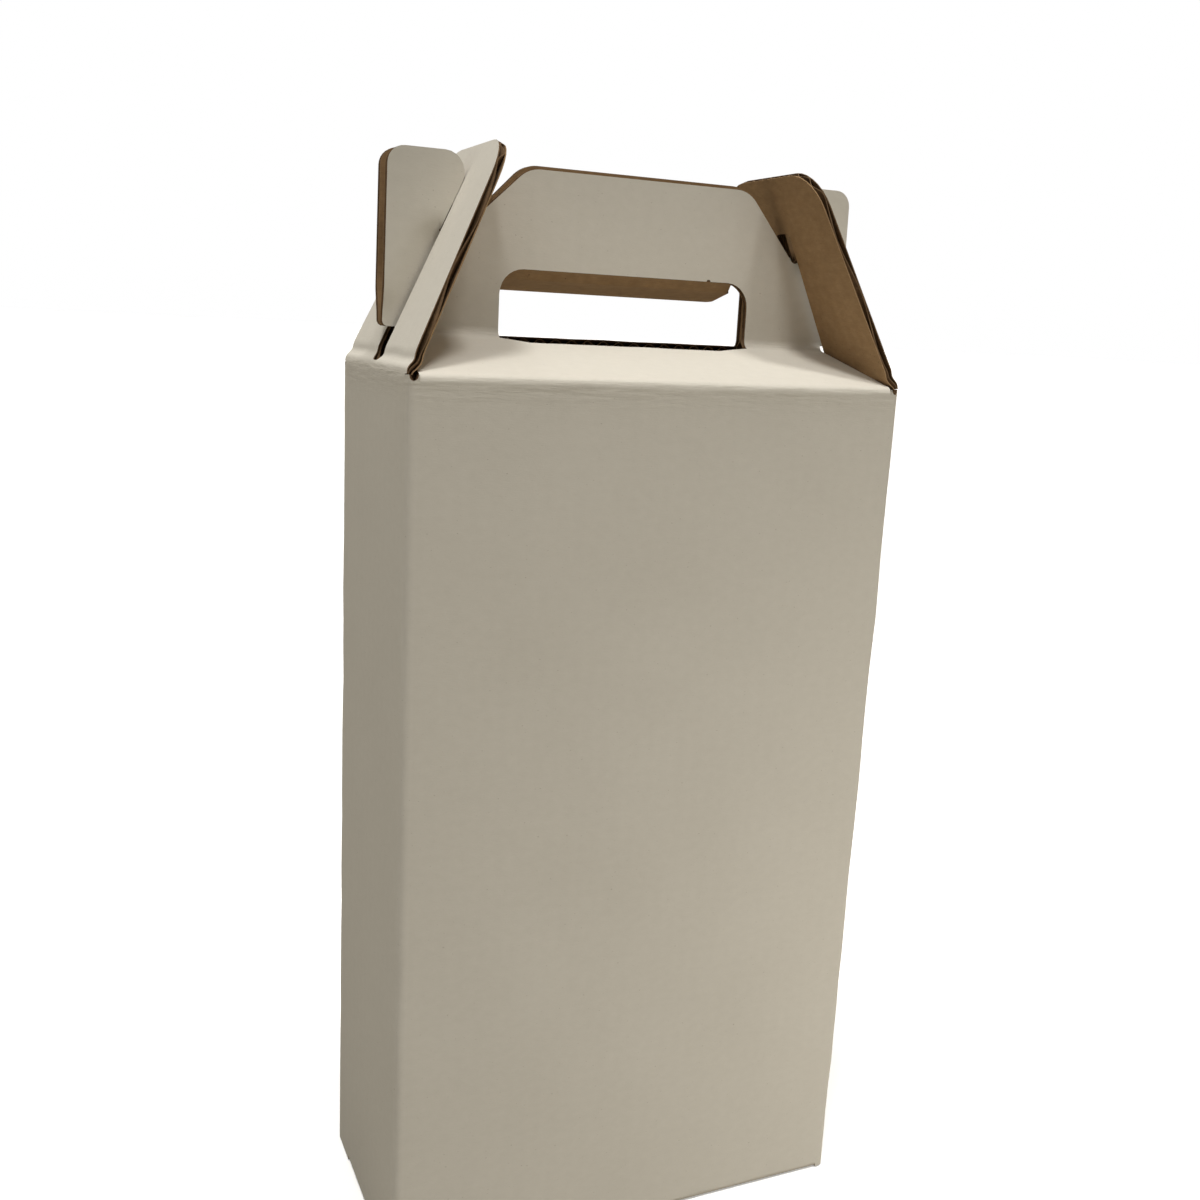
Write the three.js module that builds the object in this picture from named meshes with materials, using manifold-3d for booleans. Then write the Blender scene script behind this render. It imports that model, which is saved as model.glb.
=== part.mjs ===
// Two-bottle wine carrier, folded from one blank of white-faced corrugated board.
// Millimetres, +Z up, origin at the centre of the base, front wall towards -Y.
// Every panel is drawn flat as seen on its white face (X across, Y along the board), then folded into place.
import * as THREE from 'three';
import { mergeVertices } from 'three/addons/utils/BufferGeometryUtils.js';
import Module from 'manifold-3d';

const wasm = await Module();
wasm.setup();

const degrees = THREE.MathUtils.degToRad;

// Board and fits
const BOARD = 3; // corrugated board with a fine flute
const GAP = 0.3; // left between faces that meet at a crease or lie on each other
const CREASE_RADIUS = 2.5; // outside of a folded crease
const ARC_STEPS = 4; // facets on a crease or a rounded corner
const SIDE_CLEARANCE = 0.6; // between a free edge and the panel it passes

// Body
const WIDTH = 190;
const DEPTH = 91;
const HEIGHT = 331; // floor to the creases at the top of the walls

// Maker's joint inside the back right corner
const GLUE_TAB_WIDTH = 30;
const GLUE_TAB_INSET = 16; // tab ends below the wall tops and above the base flaps
const GLUE_TAB_TAPER = 12;

// Roof
const ROOF_RISE = 12.5; // handle crease above the wall tops
const RELIEF_RADIUS = 2.5; // die-cut bite at the outer ends of the front and back creases

// Handle panels
const HANDLE_GAP = 0.4; // between the two panels
const HANDLE_HEIGHT = 58.5; // crease to top edge
const SHOULDER_SLOPE = degrees(44); // shoulders fall away from the top edge
const SHOULDER_RADIUS = 11;
const HOLE_WIDTH = 101;
const HOLE_HEIGHT = 23.5;
const HOLE_RADIUS = 9;
const WING_INSET = 2.2; // outer edge of a lock wing inside the line of the side wall
const WING_TAPER = 0.8; // the outer edge leans in towards the top
const WING_BOTTOM = 1.5; // above the handle crease
const WING_DROP = 2.5; // top of the wings below the top of the handle
const WING_RADIUS = 6;
const HOOK_RADIUS = 3.5; // inner top corner of a wing
const HOOK_GAP = 0.5; // between the inner edge of a wing and the outside of the lock flap
const NOTCH_DEPTH = 26; // below the top of the handle
const NOTCH_CLEARANCE = 2.2; // notch wider than the lock flap that leans through it
const NOTCH_RADIUS = 2.5;

// Flap left in the back hand hole
const HAND_FLAP_OPEN = degrees(80); // pushed back through the hole
const HAND_FLAP_CORNER = 2;

// Lock flaps on the side walls
const LOCK_LEAN = degrees(22); // inwards from upright
const LOCK_INSET = 1.5; // root of the flap to the corners of the box
const LOCK_TOP_WIDTH = 63;
const LOCK_TIP = 9.5; // strip left above the slot
const LOCK_RADIUS = 13;
const SLOT_START = 2.5; // above the crease
const SLOT_RISE = 1.1; // end of the slot above the wings, so that the flap swings clear of them
const SLOT_CLEARANCE = 2.3; // on each side of the two handle panels, which part as the flap swings out
const SLOT_RADIUS = 2.5;

// Snap-lock base: the back flap lies over the side flaps, and the side flaps over the front flap
const BASE_EDGE_CLEARANCE = 1.5; // base flaps to the walls beside them
const RAMP_START = 6; // flat strip beside the wall crease before a flap climbs
const BACK_FLAP_PAST = 6.5; // free edge, past the middle of the box
const BACK_FLAP_TAPER = 3;
const RECESS_DEPTH = 12; // cut in the back flap's free edge for the tongue
const RECESS_CLEARANCE = 7; // on each side of the tongue
const SIDE_FLAP_RAMP = 22;
const SIDE_FLAP_BACK = 14; // free end, behind the middle of the box
const FRONT_FLAP_PAST = 4.5; // free edge, past the middle of the box
const TONGUE_WIDTH = 54;
const TONGUE_CLEARANCE = 8; // between the tongue and the side flaps
const TONGUE_RAMP = 22; // length over which the tongue climbs
const TONGUE_LEAD = 5; // the tongue is at its full height this far ahead of the recess
const TONGUE_TUCK = 26; // length of the tongue at its full height
const BASE_RADIUS = 6;

// Loose divider between the bottles
const DIVIDER_HEIGHT = 230;
const LEAF_LENGTH = 70;

// Colours of the board
const WHITE_LINER = { color: 0xcfc8b6, roughness: 0.75, metalness: 0 };
const KRAFT_LINER = { color: 0x8a6844, roughness: 0.9, metalness: 0 };

// Sizes that follow from those above
const HANDLE_FACE = HANDLE_GAP / 2 + BOARD; // white face of a handle from the middle of the box
const ROOF_RUN = DEPTH / 2 - HANDLE_FACE;
const ROOF_SLOPE = Math.atan2(ROOF_RISE, ROOF_RUN);
const ROOF_LENGTH = Math.hypot(ROOF_RISE, ROOF_RUN);
const ROOF_FOLD = Math.PI / 2 - ROOF_SLOPE;
const LAYER = BOARD + GAP; // one more board in the base
const LOCK_THICKNESS = BOARD / Math.cos(LOCK_LEAN); // lock flap measured along X
const INNER_WIDTH = WIDTH - 2 * BOARD;
const INNER_DEPTH = DEPTH - 2 * BOARD;

// Outline with rounded corners from a list of [x, y, radius], the radius being optional
function roundedOutline(corners) {
  const places = corners.map(([x, y]) => new THREE.Vector2(x, y));
  const points = corners.flatMap(([, , radius = 0], i) => {
    const corner = places[i];
    if (radius === 0) {
      return [corner];
    }
    const before = places.at(i - 1).clone().sub(corner).normalize();
    const after = places[(i + 1) % places.length].clone().sub(corner).normalize();
    const halfAngle = Math.acos(before.dot(after)) / 2;
    const middle = before.clone().add(after).normalize();
    const centre = corner.clone().addScaledVector(middle, radius / Math.sin(halfAngle));
    const tangent = radius / Math.tan(halfAngle);
    const start = corner.clone().addScaledVector(before, tangent).sub(centre);
    const end = corner.clone().addScaledVector(after, tangent).sub(centre);
    const clockwise = start.cross(end) < 0;
    return new THREE.EllipseCurve(
      centre.x, centre.y, radius, radius, start.angle(), end.angle(), clockwise,
    ).getPoints(ARC_STEPS);
  });
  return new THREE.Shape(points);
}

// One half of an outline, given from the bottom up on the right, and its mirror image
function mirrored(rightHalf) {
  return [...rightHalf, ...rightHalf.map(([x, y, radius]) => [-x, y, radius]).reverse()];
}

// Folded end of a board, from its white face to its kraft face. The reach is measured on the white face.
// A positive fold turns the next panel towards the kraft side, a negative one towards the white side.
function foldedEnd(reach, fold) {
  if (fold === 0) {
    return [new THREE.Vector2(reach, 0), new THREE.Vector2(reach, BOARD)];
  }
  const half = Math.abs(fold) / 2;
  const mitre = BOARD * Math.tan(half);
  const corner = reach + (fold < 0 ? mitre : 0) - GAP / 2 / Math.cos(half);
  const round = new THREE.EllipseCurve(
    corner - CREASE_RADIUS * Math.tan(half), CREASE_RADIUS,
    CREASE_RADIUS, CREASE_RADIUS, -Math.PI / 2, half - Math.PI / 2,
  );
  const points = [...round.getPoints(ARC_STEPS), new THREE.Vector2(corner - mitre, BOARD)];
  return fold > 0 ? points : points.map((p) => new THREE.Vector2(p.x, BOARD - p.y)).reverse();
}

// Section of a flat board between two ends, with the white face along y = 0
function flatSection(from, fromFold, to, toFold) {
  const start = foldedEnd(-from, fromFold).map((p) => new THREE.Vector2(-p.x, p.y)).reverse();
  return new THREE.Shape([...foldedEnd(to, toFold), ...start]);
}

// Section of a base flap that leaves its crease and climbs over the flaps below it
function climbingSection(length, rampStart, rampEnd, lift) {
  const start = foldedEnd(0, Math.PI / 2).map((p) => new THREE.Vector2(-p.x, p.y)).reverse();
  const white = [[rampStart, 0], [rampEnd, lift], [length, lift]];
  const kraft = white.map(([x, y]) => [x, y + BOARD]).reverse();
  return new THREE.Shape([...[...white, ...kraft].map((p) => new THREE.Vector2(...p)), ...start]);
}

function solid(geometry) {
  const bare = geometry.clone();
  bare.deleteAttribute('normal');
  bare.deleteAttribute('uv');
  const merged = mergeVertices(bare);
  return new wasm.Manifold(new wasm.Mesh({
    numProp: 3,
    vertProperties: new Float32Array(merged.attributes.position.array),
    triVerts: new Uint32Array(merged.index.array),
  }));
}

function geometryOf(body) {
  const mesh = body.getMesh();
  const geometry = new THREE.BufferGeometry();
  geometry.setAttribute('position', new THREE.BufferAttribute(new Float32Array(mesh.vertProperties), 3));
  geometry.setIndex(new THREE.BufferAttribute(new Uint32Array(mesh.triVerts), 1));
  return geometry;
}

function extrude(shape, depth) {
  return new THREE.ExtrudeGeometry(shape, { depth, curveSegments: ARC_STEPS, bevelEnabled: false });
}

// Solids in a panel's own frame: white face at z = 0, board below it
const REACH = WIDTH + DEPTH; // longer than any panel, so that only the outlines and sections cut it

function cutOutline(shape) {
  return solid(extrude(shape, 4 * REACH).translate(0, 0, -2 * REACH));
}

function sectionAlong(shape) {
  const turned = new THREE.Matrix4().makeBasis(
    new THREE.Vector3(0, 1, 0), new THREE.Vector3(0, 0, -1), new THREE.Vector3(-1, 0, 0),
  );
  return solid(extrude(shape, 2 * REACH).applyMatrix4(turned).translate(REACH, 0, 0));
}

function sectionAcross(shape) {
  const turned = new THREE.Matrix4().makeBasis(
    new THREE.Vector3(1, 0, 0), new THREE.Vector3(0, 0, -1), new THREE.Vector3(0, 1, 0),
  );
  return solid(extrude(shape, 2 * HEIGHT).applyMatrix4(turned).translate(0, -HEIGHT / 2, 0));
}

// Board with an outline as seen on its white face and a section along its length
function creased(outline, section) {
  return cutOutline(outline).intersect(sectionAlong(section));
}

function addPanel(parent, name, body, look) {
  const mesh = new THREE.Mesh(geometryOf(body), new THREE.MeshStandardMaterial(look));
  mesh.name = name;
  parent.add(mesh);
}

// Frame of a wall seen from outside: X across, Y up, Z out, origin at the middle of the wall's foot
function wallFrame(turn, distance) {
  const side = new THREE.Group();
  side.rotation.z = turn;
  const face = new THREE.Group();
  face.position.y = -distance;
  face.rotation.x = Math.PI / 2;
  side.add(face);
  box.add(side);
  return face;
}

// Frame of a panel creased onto another at a height, turned about the crease
function foldFrame(parent, height, angle, flipped = 0) {
  const frame = new THREE.Group();
  frame.position.y = height;
  frame.rotation.set(angle, 0, flipped);
  parent.add(frame);
  return frame;
}

const box = new THREE.Group();
const front = wallFrame(0, DEPTH / 2);
const right = wallFrame(Math.PI / 2, WIDTH / 2);
const back = wallFrame(Math.PI, DEPTH / 2);
const left = wallFrame(-Math.PI / 2, WIDTH / 2);

// Walls: mitred at the folded corners, at the base creases and at the creases of what stands on them
const CORNER = Math.PI / 2;
const TAB_FACE = DEPTH / 2 - BOARD - GAP; // white face of the glue tab against the back wall
const endWall = flatSection(0, CORNER, HEIGHT, LOCK_LEAN);
const longWall = flatSection(0, CORNER, HEIGHT, ROOF_FOLD);
const walls = [
  ['front_panel', front, longWall, flatSection(-WIDTH / 2, CORNER, WIDTH / 2, CORNER)],
  ['right_panel', right, endWall, flatSection(-DEPTH / 2, CORNER, TAB_FACE, CORNER)],
  ['back_panel', back, longWall, flatSection(-WIDTH / 2, 0, WIDTH / 2, CORNER)],
  ['left_panel', left, endWall, flatSection(-DEPTH / 2, CORNER, DEPTH / 2, CORNER)],
];
for (const [name, frame, upright, across] of walls) {
  addPanel(frame, name, sectionAlong(upright).intersect(sectionAcross(across)), WHITE_LINER);
}

// Glue tab: runs on from the right wall and lies against the inside of the back wall
const tab = wallFrame(Math.PI, TAB_FACE);
const tabOutline = roundedOutline([
  [-WIDTH / 2, GLUE_TAB_INSET],
  [GLUE_TAB_WIDTH - WIDTH / 2, GLUE_TAB_INSET + GLUE_TAB_TAPER],
  [GLUE_TAB_WIDTH - WIDTH / 2, HEIGHT - GLUE_TAB_INSET - GLUE_TAB_TAPER],
  [-WIDTH / 2, HEIGHT - GLUE_TAB_INSET],
]);
const tabAcross = flatSection(-WIDTH / 2, CORNER, GLUE_TAB_WIDTH - WIDTH / 2, 0);
addPanel(tab, 'glue_tab', cutOutline(tabOutline).intersect(sectionAcross(tabAcross)), KRAFT_LINER);

// Roof slopes: the side edges follow the lean of the lock flaps
const roofHalfWidth = (along) => (
  WIDTH / 2 - along * Math.sin(ROOF_SLOPE) * Math.tan(LOCK_LEAN) - LOCK_THICKNESS - SIDE_CLEARANCE
);
const ROOF_OVERRUN = BOARD; // the outline runs past both creases, where the section ends it
const ROOF_END = ROOF_LENGTH + ROOF_OVERRUN;
const roofOutline = roundedOutline(mirrored([
  [roofHalfWidth(0) - RELIEF_RADIUS, -ROOF_OVERRUN],
  [roofHalfWidth(0) - RELIEF_RADIUS, RELIEF_RADIUS, RELIEF_RADIUS / 2],
  [roofHalfWidth(RELIEF_RADIUS), RELIEF_RADIUS],
  [roofHalfWidth(ROOF_END), ROOF_END],
]));
const roofSection = flatSection(0, ROOF_FOLD, ROOF_LENGTH, -ROOF_FOLD);

// Handle panels: hand hole open down to the crease, sloped shoulders, and a notch on each side that
// leaves a wing. The wings pass out through the slots of the lock flaps.
const HANDLE_TOP = ROOF_RISE + HANDLE_HEIGHT; // above the wall tops
const FOOT_HALF_WIDTH = roofHalfWidth(ROOF_LENGTH);
const lockOutside = (y) => WIDTH / 2 - (ROOF_RISE + y) * Math.tan(LOCK_LEAN) + HOOK_GAP / Math.cos(LOCK_LEAN);
const WING_REACH = WIDTH / 2 - WING_INSET;
const WING_TOP = HANDLE_HEIGHT - WING_DROP;
const NOTCH_BOTTOM = HANDLE_HEIGHT - NOTCH_DEPTH;
const NOTCH_INSIDE = lockOutside(NOTCH_BOTTOM) - LOCK_THICKNESS - NOTCH_CLEARANCE;
const HANDLE_TOP_HALF = NOTCH_INSIDE - NOTCH_DEPTH / Math.tan(SHOULDER_SLOPE);
const handleOutline = roundedOutline([
  ...mirrored([
    [HOLE_WIDTH / 2, -BOARD],
    [FOOT_HALF_WIDTH, -BOARD],
    [FOOT_HALF_WIDTH, WING_BOTTOM],
    [WING_REACH, WING_BOTTOM, WING_RADIUS],
    [WING_REACH - WING_TAPER, WING_TOP, WING_RADIUS],
    [lockOutside(WING_TOP), WING_TOP, HOOK_RADIUS],
    [lockOutside(NOTCH_BOTTOM), NOTCH_BOTTOM, NOTCH_RADIUS],
    [NOTCH_INSIDE, NOTCH_BOTTOM, NOTCH_RADIUS],
    [HANDLE_TOP_HALF, HANDLE_HEIGHT, SHOULDER_RADIUS],
  ]),
  [-HOLE_WIDTH / 2, HOLE_HEIGHT, HOLE_RADIUS],
  [HOLE_WIDTH / 2, HOLE_HEIGHT, HOLE_RADIUS],
]);
const handleSection = flatSection(0, -ROOF_FOLD, HANDLE_TOP, 0);

const handles = [];
for (const [side, frame] of [['front', front], ['back', back]]) {
  const roof = foldFrame(frame, HEIGHT, -ROOF_FOLD);
  addPanel(roof, `${side}_roof`, creased(roofOutline, roofSection), WHITE_LINER);
  const handle = foldFrame(roof, ROOF_LENGTH, ROOF_FOLD);
  addPanel(handle, `${side}_handle`, creased(handleOutline, handleSection), WHITE_LINER);
  handles.push(handle);
}

// Hand flap: stays creased to the top of the back hand hole and is pushed back for the hand
const handFlap = foldFrame(handles[1], HOLE_HEIGHT, -HAND_FLAP_OPEN, Math.PI);
const HAND_FLAP_HALF = HOLE_WIDTH / 2 - SIDE_CLEARANCE;
const HAND_FLAP_LENGTH = HOLE_HEIGHT - SIDE_CLEARANCE;
const handFlapOutline = roundedOutline(mirrored([
  [HAND_FLAP_HALF - HOLE_RADIUS, 0],
  [HAND_FLAP_HALF, HOLE_RADIUS],
  [HAND_FLAP_HALF, HAND_FLAP_LENGTH - HAND_FLAP_CORNER],
  [HAND_FLAP_HALF - HAND_FLAP_CORNER, HAND_FLAP_LENGTH],
]));
const handFlapSection = flatSection(GAP, 0, HAND_FLAP_LENGTH, 0);
addPanel(handFlap, 'hand_flap', creased(handFlapOutline, handFlapSection), KRAFT_LINER);

// Lock flaps: tapered, with a slot from the crease up for the wings of both handles
const LOCK_ROOT_HALF = DEPTH / 2 - LOCK_INSET;
const SLOT_HALF = HANDLE_FACE + SLOT_CLEARANCE;
const SLOT_END = (ROOF_RISE + WING_TOP) / Math.cos(LOCK_LEAN) + SLOT_RISE;
const LOCK_LENGTH = SLOT_END + LOCK_TIP;
const lockOutline = roundedOutline(mirrored([
  [LOCK_ROOT_HALF, -BOARD],
  [LOCK_ROOT_HALF, 0],
  [LOCK_TOP_WIDTH / 2, LOCK_LENGTH, LOCK_RADIUS],
]));
lockOutline.holes.push(roundedOutline(mirrored([
  [SLOT_HALF, SLOT_START],
  [SLOT_HALF, SLOT_END, SLOT_RADIUS],
])));
const lockSection = flatSection(0, LOCK_LEAN, LOCK_LENGTH + BOARD, 0);
for (const [side, frame] of [['left', left], ['right', right]]) {
  const lock = foldFrame(frame, HEIGHT, -LOCK_LEAN);
  addPanel(lock, `${side}_lock_flap`, creased(lockOutline, lockSection), WHITE_LINER);
}

// Base flaps: each is creased to the foot of a wall and turned in under the box
const baseFrame = (frame) => foldFrame(frame, 0, Math.PI / 2, Math.PI);
const BASE_HALF_WIDTH = INNER_WIDTH / 2 - BASE_EDGE_CLEARANCE;
const BACK_FLAP_LENGTH = DEPTH / 2 + BACK_FLAP_PAST;
const BACK_FLAP_RAMP = DEPTH / 2 - SIDE_FLAP_BACK - BASE_EDGE_CLEARANCE; // full height before the side flaps
const RECESS_HALF = TONGUE_WIDTH / 2 + RECESS_CLEARANCE;
const RECESS_EDGE = BACK_FLAP_LENGTH - RECESS_DEPTH;
const backFlapOutline = roundedOutline(mirrored([
  [BASE_HALF_WIDTH, -BOARD],
  [BASE_HALF_WIDTH - BACK_FLAP_TAPER, BACK_FLAP_LENGTH, BASE_RADIUS],
  [RECESS_HALF + RECESS_DEPTH / 2, BACK_FLAP_LENGTH],
  [RECESS_HALF, RECESS_EDGE],
]));
const backFlapSection = climbingSection(BACK_FLAP_LENGTH + BOARD, RAMP_START, BACK_FLAP_RAMP, 2 * LAYER);
addPanel(baseFrame(back), 'bottom_back_flap', creased(backFlapOutline, backFlapSection), WHITE_LINER);

// Side base flaps: the root ends where the back flap has climbed over one board, and the front edge is cut
// back at 45 degrees, as the corner of the front flap is
const SIDE_ROOT_FRONT = INNER_DEPTH / 2 - BASE_EDGE_CLEARANCE;
const SIDE_FLAP_FRONT = SIDE_ROOT_FRONT - SIDE_FLAP_RAMP + BOARD; // free end, ahead of the middle of the box
const SIDE_ROOT_BACK = DEPTH / 2 - (RAMP_START + BACK_FLAP_RAMP) / 2 - BASE_EDGE_CLEARANCE;
const SIDE_FLAP_LENGTH = WIDTH / 2 - TONGUE_WIDTH / 2 - TONGUE_CLEARANCE;
const sideFlapSection = climbingSection(SIDE_FLAP_LENGTH + BOARD, RAMP_START, SIDE_FLAP_RAMP, LAYER);
for (const [side, frame, forward] of [['left', left, 1], ['right', right, -1]]) {
  const corners = [
    [-SIDE_ROOT_FRONT, -BOARD],
    [SIDE_ROOT_BACK, -BOARD],
    [SIDE_ROOT_BACK, BOARD],
    [SIDE_FLAP_BACK, SIDE_FLAP_RAMP],
    [SIDE_FLAP_BACK, SIDE_FLAP_LENGTH, BASE_RADIUS],
    [-SIDE_FLAP_FRONT, SIDE_FLAP_LENGTH, BASE_RADIUS],
    [-SIDE_FLAP_FRONT, SIDE_FLAP_RAMP],
    [-SIDE_ROOT_FRONT, BOARD],
  ];
  const outline = corners.map(([x, y, radius]) => [forward * x, y, radius]);
  const sideFlapOutline = roundedOutline(forward > 0 ? outline : outline.reverse());
  const sideFlap = creased(sideFlapOutline, sideFlapSection);
  addPanel(baseFrame(frame), `bottom_${side}_flap`, sideFlap, WHITE_LINER);
}

// Front base flap: its tongue climbs between the side flaps and tucks over the back flap
const FRONT_FLAP_HALF = INNER_WIDTH / 2 - SIDE_FLAP_RAMP - BASE_EDGE_CLEARANCE;
const FRONT_FLAP_LENGTH = DEPTH / 2 + FRONT_FLAP_PAST;
const TONGUE_RAMP_END = DEPTH - RECESS_EDGE - TONGUE_LEAD;
const TONGUE_RAMP_START = TONGUE_RAMP_END - TONGUE_RAMP;
const TONGUE_LENGTH = TONGUE_RAMP_END + TONGUE_TUCK;
const frontFlapOutline = roundedOutline(mirrored([
  [BASE_HALF_WIDTH, -BOARD],
  [BASE_HALF_WIDTH, BOARD],
  [FRONT_FLAP_HALF, BOARD + BASE_HALF_WIDTH - FRONT_FLAP_HALF],
  [FRONT_FLAP_HALF, FRONT_FLAP_LENGTH, BASE_RADIUS],
  [TONGUE_WIDTH / 2 + GAP, FRONT_FLAP_LENGTH],
  [TONGUE_WIDTH / 2 + GAP, TONGUE_RAMP_START],
]));
const tongueOutline = roundedOutline(mirrored([
  [TONGUE_WIDTH / 2, 2 * BOARD],
  [TONGUE_WIDTH / 2, TONGUE_LENGTH, BASE_RADIUS],
]));
const tongueSection = climbingSection(TONGUE_LENGTH + BOARD, TONGUE_RAMP_START, TONGUE_RAMP_END, 3 * LAYER);
const frontFlapSection = flatSection(0, CORNER, FRONT_FLAP_LENGTH + BOARD, 0);
const frontFlap = creased(frontFlapOutline, frontFlapSection).add(creased(tongueOutline, tongueSection));
addPanel(baseFrame(front), 'bottom_front_flap', frontFlap, WHITE_LINER);

// Divider: a loose Z fold that stands on the tongue, its leaves against the front and back walls
const DIVIDER_FOOT = 3 * LAYER + BOARD + GAP;
const LEAF_FACE = INNER_DEPTH / 2 - GAP;
const dividerUpright = sectionAlong(flatSection(DIVIDER_FOOT, 0, DIVIDER_FOOT + DIVIDER_HEIGHT, 0));
const web = wallFrame(-Math.PI / 2, BOARD / 2);
const webAcross = flatSection(BOARD - LEAF_FACE, -CORNER, LEAF_FACE, CORNER);
addPanel(web, 'divider_web', dividerUpright.intersect(sectionAcross(webAcross)), KRAFT_LINER);
const leafAcross = flatSection(-BOARD / 2, CORNER, LEAF_LENGTH, 0);
for (const [side, turn] of [['front', 0], ['back', Math.PI]]) {
  const leaf = dividerUpright.intersect(sectionAcross(leafAcross));
  addPanel(wallFrame(turn, LEAF_FACE), `divider_${side}_leaf`, leaf, KRAFT_LINER);
}

export default box;
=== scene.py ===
import math

import bmesh
import bpy
import numpy as np
from mathutils import Matrix, Vector, noise


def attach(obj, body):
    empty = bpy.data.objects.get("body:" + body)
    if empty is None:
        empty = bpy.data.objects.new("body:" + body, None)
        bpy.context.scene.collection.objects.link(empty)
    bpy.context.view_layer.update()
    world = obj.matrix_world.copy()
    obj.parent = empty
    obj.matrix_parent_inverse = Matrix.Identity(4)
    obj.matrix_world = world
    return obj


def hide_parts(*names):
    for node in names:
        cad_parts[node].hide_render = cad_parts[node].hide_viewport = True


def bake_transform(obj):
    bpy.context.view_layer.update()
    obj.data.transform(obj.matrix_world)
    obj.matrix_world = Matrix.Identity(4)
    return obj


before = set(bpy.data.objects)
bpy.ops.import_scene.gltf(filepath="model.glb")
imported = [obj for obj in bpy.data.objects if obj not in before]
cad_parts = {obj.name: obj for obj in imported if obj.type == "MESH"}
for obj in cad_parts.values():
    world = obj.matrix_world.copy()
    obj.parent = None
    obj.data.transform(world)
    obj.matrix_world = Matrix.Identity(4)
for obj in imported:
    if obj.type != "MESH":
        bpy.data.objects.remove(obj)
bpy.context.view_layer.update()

# Walls. Four panels of the sleeve, creased into each other at three corners. The right wall runs on into a
# tab, glued inside the back wall, whose own edge is left raw there. Like the whole carton they are die-cut
# from one corrugated board: a white-faced liner, a brown kraft liner inside, a waved sheet between them.
MILLIMETRE = 0.001
WIDTH = 190.0
DEPTH = 91.0
HEIGHT = 331.0
BOARD = 3.0
LINER = 0.38
FLUTE_SHEET = 0.34
FLUTE_PITCH = 6.4
FLUTE_STEPS = 8
HOLLOW_DEPTH = 5.0  # of the space between the liners, in from a cut
FLUTE_DEPTH = 8.0  # of the waved sheet, in from a cut
SHARP_EDGE = math.radians(48)
SNAP = 0.0001
WHITE, KRAFT, CORE = 0, 1, 2
GAP = 0.3  # between boards that lie on each other
TAB_FACE = DEPTH / 2 - BOARD - GAP
CORNER = math.pi / 2
CORNER_ROLL = 3.6
ROLL_STEPS = 5
CREASE = 2.8
LOCK_ROLL = 2.8
NEAR = 0.01
RAW_FOOT = 0.5
RAW_TOP = 0.25
ROOF_ROOT = 90.8
BITE_GAP = 0.3
BITE_RADIUS = 1.9  # of the relief cut at each end of a roof crease
BITE_STEPS = 6
BASE_HALF = 90.5
SIDE_FLAP_FORE = 41.0
SIDE_FLAP_AFT = 26.0
WALL_ROW = 12.0
TOP_ROWS = (16.0, 13.0, 10.0, 7.5, 5.5)
BOW = 0.35
BROAD_BOW = (0.45, 70)  # height and length of a wave
CLOSE_BOW = (0.25, 24)
CLOSE_SEED = 5
BOW_MARGIN = 45.0
BROAD_DENT = (0.40, 38)
CLOSE_DENT = (0.30, 12)
DENT_WIDTH = 13.0
DENT_MARGIN = 20.0
# Seeds of the dents down the left and right corner of each wall, with none at the glued corner.
DENT_SEEDS = {"front": (51, 52), "right": (52, 0), "back": (0, 53), "left": (53, 51)}
PRESSED_TOP = 16.0
PRESSED_MOST = 0.8

# Noise cells to the metre across the flutes, along them and through the board, then detail and roughness.
BROAD_CLOUD = ((28, 20, 20), 2, 0.5)
CLOSE_CLOUD = ((230, 330, 300), 4, 0.62)
FIBRES = ((420, 2600, 900), 3, 0.6)
SPECKS = ((900, 1300, 900), 1, 0.4)
CRUMPLES = ((70, 520, 300), 3, 0.55)
BROAD_SHARE = 0.35
SPECK_RANGE = (0.74, 0.80)
FIBRE_RANGE = (0.35, 0.75)
CRUMPLE_HEIGHT = 3.6
RIB_HEIGHT = 0.16
FIBRE_HEIGHT = 0.30
CLOUD_HEIGHT = 0.34
RELIEF_DEPTH = 0.0004
WORN_SHARE = 0.3
GLOSS_SPREAD = 0.08
SHEEN = 0.3


def bare_material(name):
    material = bpy.data.materials.new(name)
    material.use_nodes = True
    tree = material.node_tree
    tree.nodes.clear()
    output = tree.nodes.new("ShaderNodeOutputMaterial")
    shader = tree.nodes.new("ShaderNodeBsdfPrincipled")
    tree.links.new(shader.outputs["BSDF"], output.inputs["Surface"])
    return material, tree, shader


def feed(tree, socket, value):
    """Links a node's output to a socket, or sets the socket to a plain value."""
    if isinstance(value, bpy.types.NodeSocket):
        tree.links.new(value, socket)
    else:
        socket.default_value = value


def arithmetic(tree, operation, first, second=0.0):
    node = tree.nodes.new("ShaderNodeMath")
    node.operation = operation
    feed(tree, node.inputs[0], first)
    feed(tree, node.inputs[1], second)
    return node.outputs[0]


def product(tree, first, second):
    return arithmetic(tree, "MULTIPLY", first, second)


def ramp(tree, value, low, high, first=0.0, last=1.0):
    node = tree.nodes.new("ShaderNodeMapRange")
    ends = {"From Min": low, "From Max": high, "To Min": first, "To Max": last, "Value": value}
    for name, setting in ends.items():
        feed(tree, node.inputs[name], setting)
    return node.outputs["Result"]


def mixed(tree, share, first, second):
    node = tree.nodes.new("ShaderNodeMix")
    node.data_type = "RGBA"
    for name, setting in (("Factor", share), ("A", first), ("B", second)):
        feed(tree, node.inputs[name], setting)
    return node.outputs["Result"]


def stretched_noise(tree, vector, stretch, detail, roughness):
    scale = tree.nodes.new("ShaderNodeVectorMath")
    scale.operation = "MULTIPLY"
    feed(tree, scale.inputs[0], vector)
    feed(tree, scale.inputs[1], stretch)
    texture = tree.nodes.new("ShaderNodeTexNoise")
    settings = {"Vector": scale.outputs[0], "Scale": 1, "Detail": detail, "Roughness": roughness}
    for name, setting in settings.items():
        feed(tree, texture.inputs[name], setting)
    return texture.outputs["Fac"]


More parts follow.
